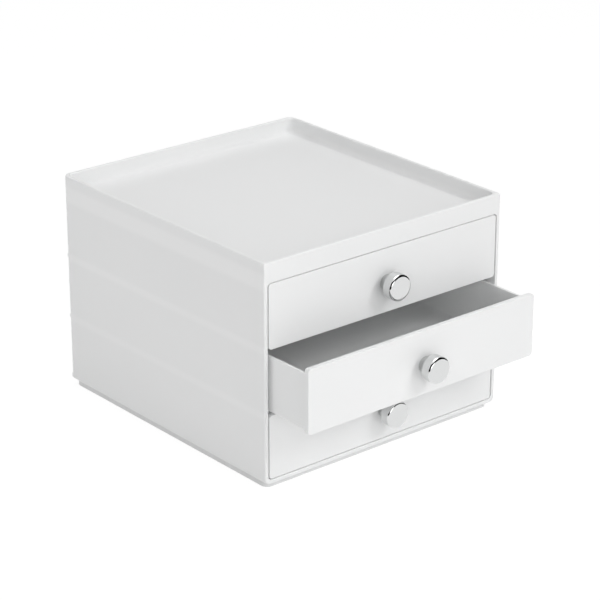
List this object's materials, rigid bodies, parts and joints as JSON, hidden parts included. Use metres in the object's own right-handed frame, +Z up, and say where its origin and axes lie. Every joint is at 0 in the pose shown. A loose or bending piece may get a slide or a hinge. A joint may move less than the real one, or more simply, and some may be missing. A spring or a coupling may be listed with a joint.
{
  "type": "desktop drawer organizer",
  "caption": "White moulded desktop organizer: a case with a rimmed tray on top, flush sliding drawers with round chrome knobs and a set-back plinth.",
  "frame": {"origin": "centre of the case's footprint, on the plane that the base plate rests on", "axes": "+Z up, the drawer fronts face -Y, +X to the right seen from the front"},
  "size_m": [0.165, 0.2205, 0.127],
  "materials": {
    "white_plastic": "semi-gloss moulded white ABS",
    "chrome_plating": "bright chrome plating",
    "brass": "turned brass",
    "zinc_steel": "bright zinc-plated steel"
  },
  "bodies": {
    "case": {"case_shell": "white_plastic", "base_plate": "white_plastic", "base_screws": "zinc_steel"},
    "top_drawer": {"drawer_top": "white_plastic", "knob_top": "chrome_plating", "knob_insert_top": "brass", "knob_washer_top": "zinc_steel", "knob_screw_top": "zinc_steel"},
    "middle_drawer": {"drawer_middle": "white_plastic", "knob_middle": "chrome_plating", "knob_insert_middle": "brass", "knob_washer_middle": "zinc_steel", "knob_screw_middle": "zinc_steel"},
    "bottom_drawer": {"drawer_bottom": "white_plastic", "knob_bottom": "chrome_plating", "knob_insert_bottom": "brass", "knob_washer_bottom": "zinc_steel", "knob_screw_bottom": "zinc_steel"}
  },
  "joints": [
    {"name": "top_drawer_slide", "type": "slide", "parent": "case", "child": "top_drawer", "axis": [0, -1, 0], "range_m": [0, 0.12]},
    {"name": "middle_drawer_slide", "type": "slide", "parent": "case", "child": "middle_drawer", "axis": [0, -1, 0], "range_m": [-0.031, 0.089]},
    {"name": "bottom_drawer_slide", "type": "slide", "parent": "case", "child": "bottom_drawer", "axis": [0, -1, 0], "range_m": [0, 0.12]}
  ]
}
